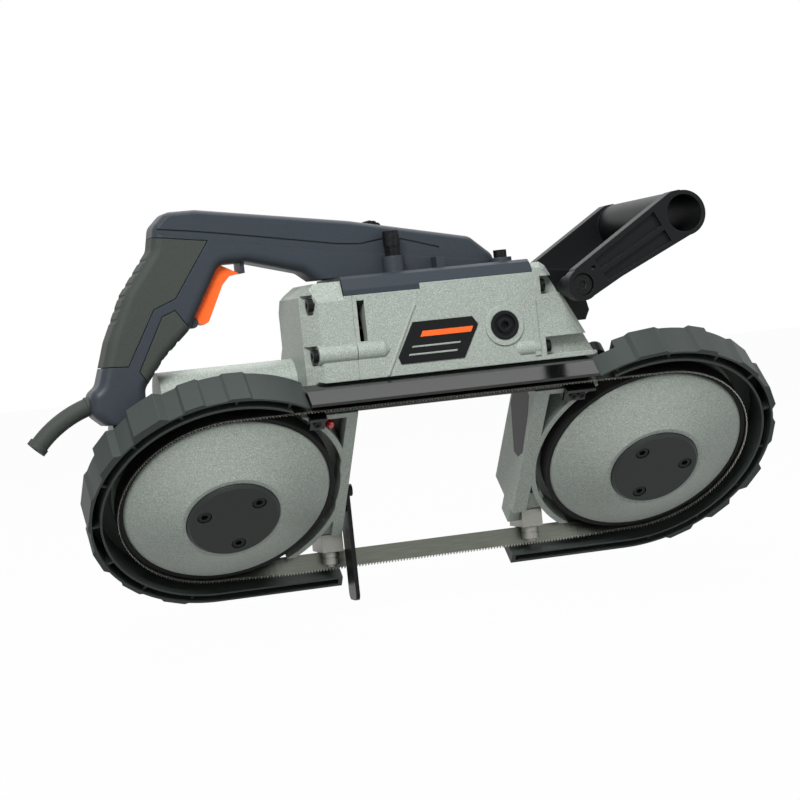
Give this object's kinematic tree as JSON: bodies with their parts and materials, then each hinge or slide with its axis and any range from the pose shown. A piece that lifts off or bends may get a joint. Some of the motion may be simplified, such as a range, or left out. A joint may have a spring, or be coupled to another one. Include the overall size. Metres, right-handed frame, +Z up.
{
  "type": "portable band saw",
  "caption": "Hand-held deep-cut band saw with leaning blade wheels in a guarded frame, motor and worm drive above, closed rear grip with trigger and a tilting front handle.",
  "frame": {"origin": "middle of the throat, midway between the two wheel centres, on the plane of the blade tooth edge", "axes": "+X from the driven wheel to the idler wheel, +Y away from the tooth side, +Z up"},
  "size_m": [0.5601, 0.1612, 0.2935],
  "materials": {
    "silver_paint": "silver hammer-fleck paint",
    "guard_plastic": "moulded, matt",
    "black_gloss": "glossy black",
    "handle_plastic": "blue-grey, fine texture",
    "grip_rubber": "soft, matt",
    "orange_plastic": "bright orange",
    "cap_plastic": "moulded, matt",
    "black_plastic": "matt black",
    "blade_steel": "rolled",
    "bright_steel": "turned",
    "black_steel": "black oxide",
    "copper": "turned copper",
    "lamination": "stacked sheet steel",
    "tyre_rubber": "ground",
    "red_lens": "clear red, moulded",
    "bronze": "cast bronze",
    "carbon": "pressed carbon"
  },
  "bodies": {
    "saw_body": {"main_frame": "silver_paint", "rear_wheel_guard": "guard_plastic", "front_wheel_guard": "guard_plastic", "blade_channel": "black_gloss", "motor_housing": "silver_paint", "gear_case": "silver_paint", "nose_cover": "silver_paint", "top_cover": "handle_plastic", "handle_near_half": "handle_plastic", "handle_far_half": "handle_plastic", "rear_grip_pad": "grip_rubber", "front_grip_pad": "grip_rubber", "cord_boot": "grip_rubber", "trigger_switch": "black_plastic", "brush_caps": "black_plastic", "carbon_brushes": "carbon", "field_stator": "lamination", "shaft_bearings": "bright_steel", "rear_guide_block": "bright_steel", "front_guide_block": "bright_steel", "guide_pins": "bright_steel", "front_handle_bracket": "black_plastic", "socket_screws": "black_steel", "cover_screws": "black_steel", "saw_blade": "blade_steel", "rating_plate": "black_plastic", "leg_shield": "black_plastic", "tab_screws": "black_steel", "lamp_lens": "red_lens", "tension_cover": "black_plastic", "tension_spring": "bright_steel"},
    "drive_wheel": {"drive_wheel": "silver_paint", "drive_tyre": "tyre_rubber", "drive_hub_cap": "cap_plastic", "drive_hub_screws": "black_steel", "drive_shaft": "bright_steel", "worm_wheel": "bronze"},
    "idler_wheel": {"idler_wheel": "silver_paint", "idler_tyre": "tyre_rubber", "idler_hub_cap": "cap_plastic", "idler_hub_screws": "black_steel", "idler_bearings": "bright_steel"},
    "tension_slide": {"tension_slide": "bright_steel"},
    "tension_lever": {"tension_lever": "black_plastic"},
    "armature": {"armature_shaft": "bright_steel", "armature_core": "lamination", "commutator": "copper", "cooling_fan": "black_plastic"},
    "worm": {"worm_shaft": "bright_steel", "reduction_gear": "bright_steel"},
    "rear_near_roller": {"rear_near_roller": "bright_steel"},
    "rear_far_roller": {"rear_far_roller": "bright_steel"},
    "rear_back_roller": {"rear_back_roller": "bright_steel"},
    "front_near_roller": {"front_near_roller": "bright_steel"},
    "front_far_roller": {"front_far_roller": "bright_steel"},
    "front_back_roller": {"front_back_roller": "bright_steel"},
    "work_stop": {"work_stop": "black_steel"},
    "front_handle": {"front_handle": "black_plastic"},
    "trigger": {"trigger": "orange_plastic"},
    "speed_dial": {"speed_dial": "black_plastic"}
  },
  "joints": [
    {"name": "drive_spin", "type": "hinge", "parent": "saw_body", "child": "drive_wheel", "pos_m": [-0.1605, 0, 0], "axis": [0, -0.7431, -0.6691], "continuous": true},
    {"name": "idler_spin", "type": "hinge", "parent": "tension_slide", "child": "idler_wheel", "pos_m": [0.1605, 0, 0], "axis": [0, -0.7431, -0.6691], "continuous": true},
    {"name": "worm_spin", "type": "hinge", "parent": "saw_body", "child": "worm", "pos_m": [-0.1605, 0.0141, 0.07998], "axis": [1, 0, 0], "continuous": true},
    {"name": "armature_spin", "type": "hinge", "parent": "saw_body", "child": "armature", "pos_m": [0, 0, 0.105], "axis": [1, 0, 0], "continuous": true},
    {"name": "tension_turn", "type": "hinge", "parent": "saw_body", "child": "tension_lever", "pos_m": [0.1291, 0.0405, 0.02974], "axis": [0, 0.7431, 0.6691], "range_deg": [0, 180]},
    {"name": "tension_travel", "type": "slide", "parent": "saw_body", "child": "tension_slide", "axis": [-1, 0, 0], "range_m": [0, 0.005], "deforming": ["tension_spring"]},
    {"name": "trigger_pull", "type": "slide", "parent": "saw_body", "child": "trigger", "axis": [-0.8944, 0, 0.4472], "range_m": [0, 0.006], "stiffness_N_per_m": 500},
    {"name": "dial_turn", "type": "hinge", "parent": "saw_body", "child": "speed_dial", "pos_m": [-0.036, 0, 0.1793], "axis": [0, 1, 0], "range_deg": [-135, 135]},
    {"name": "front_handle_tilt", "type": "hinge", "parent": "saw_body", "child": "front_handle", "pos_m": [0.097, 0, 0.128], "axis": [0, -1, 0], "range_deg": [-15, 50]},
    {"name": "stop_travel", "type": "slide", "parent": "saw_body", "child": "work_stop", "axis": [0, 0, 1], "range_m": [-0.01, 0.01]},
    {"name": "rear_near_roller_spin", "type": "hinge", "parent": "saw_body", "child": "rear_near_roller", "pos_m": [-0.0765, 0.05081, -0.05483], "axis": [0, 0, 1], "continuous": true},
    {"name": "rear_far_roller_spin", "type": "hinge", "parent": "saw_body", "child": "rear_far_roller", "pos_m": [-0.0765, 0.06502, -0.05483], "axis": [0, 0, 1], "continuous": true},
    {"name": "rear_back_roller_spin", "type": "hinge", "parent": "saw_body", "child": "rear_back_roller", "pos_m": [-0.0765, 0.05792, -0.04268], "axis": [0, 1, 0], "continuous": true},
    {"name": "front_near_roller_spin", "type": "hinge", "parent": "saw_body", "child": "front_near_roller", "pos_m": [0.08, 0.05081, -0.05483], "axis": [0, 0, 1], "continuous": true},
    {"name": "front_far_roller_spin", "type": "hinge", "parent": "saw_body", "child": "front_far_roller", "pos_m": [0.08, 0.06502, -0.05483], "axis": [0, 0, 1], "continuous": true},
    {"name": "front_back_roller_spin", "type": "hinge", "parent": "saw_body", "child": "front_back_roller", "pos_m": [0.08, 0.05792, -0.04268], "axis": [0, 1, 0], "continuous": true}
  ],
  "couplings": [
    {"joint": "idler_spin", "follows": "drive_spin", "ratio": 1},
    {"joint": "worm_spin", "follows": "drive_spin", "ratio": 16},
    {"joint": "armature_spin", "follows": "drive_spin", "ratio": -80},
    {"joint": "tension_turn", "follows": "tension_travel", "rad_per_m": 628.32},
    {"joint": "rear_near_roller_spin", "follows": "drive_spin", "ratio": -12.185},
    {"joint": "rear_far_roller_spin", "follows": "drive_spin", "ratio": 12.185},
    {"joint": "rear_back_roller_spin", "follows": "drive_spin", "ratio": -14.4},
    {"joint": "front_near_roller_spin", "follows": "drive_spin", "ratio": -12.185},
    {"joint": "front_far_roller_spin", "follows": "drive_spin", "ratio": 12.185},
    {"joint": "front_back_roller_spin", "follows": "drive_spin", "ratio": -14.4}
  ]
}
